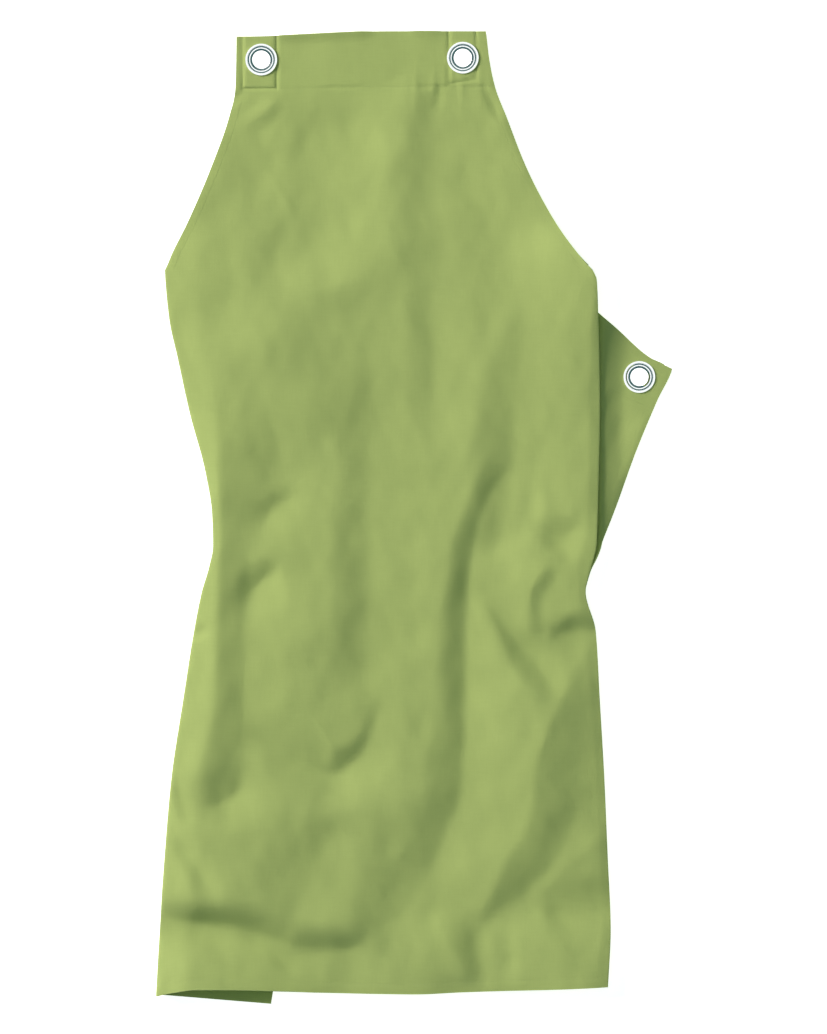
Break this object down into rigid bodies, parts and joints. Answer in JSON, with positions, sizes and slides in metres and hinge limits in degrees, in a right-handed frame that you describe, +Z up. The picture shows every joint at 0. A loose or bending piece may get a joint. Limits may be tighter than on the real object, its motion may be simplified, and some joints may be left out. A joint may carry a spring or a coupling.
{
  "type": "bib apron",
  "caption": "Green bib apron of plain cloth with metal eyelets at the bib and waist corners, laid flat with its sides folded under.",
  "frame": {"origin": "on the table, under the middle of the outline seen from above", "axes": "+Y from the skirt's hem towards the bib, +Z up from the table through the front of the apron"},
  "size_m": [0.4501, 0.8507, 0.0274],
  "materials": {
    "cloth": "matt plain-woven cotton and polyester, yellow green",
    "eyelet_metal": "bright polished nickel",
    "thread": "matt sewing thread in the colour of the cloth"
  },
  "bodies": {
    "root": {"apron_panel": "cloth", "bib_facing": "cloth", "armhole_hem_left": "cloth", "armhole_hem_right": "cloth", "side_hem_left": "cloth", "side_hem_right": "cloth", "bottom_hem": "cloth", "eyelet_patch_bib_left": "cloth", "eyelet_patch_bib_right": "cloth", "eyelet_patch_waist_left": "cloth", "eyelet_patch_waist_right": "cloth", "eyelet_bib_left": "eyelet_metal", "eyelet_bib_right": "eyelet_metal", "eyelet_waist_left": "eyelet_metal", "eyelet_waist_right": "eyelet_metal", "eyelet_washer_bib_left": "eyelet_metal", "eyelet_washer_bib_right": "eyelet_metal", "eyelet_washer_waist_left": "eyelet_metal", "eyelet_washer_waist_right": "eyelet_metal"}
  },
  "joints": []
}
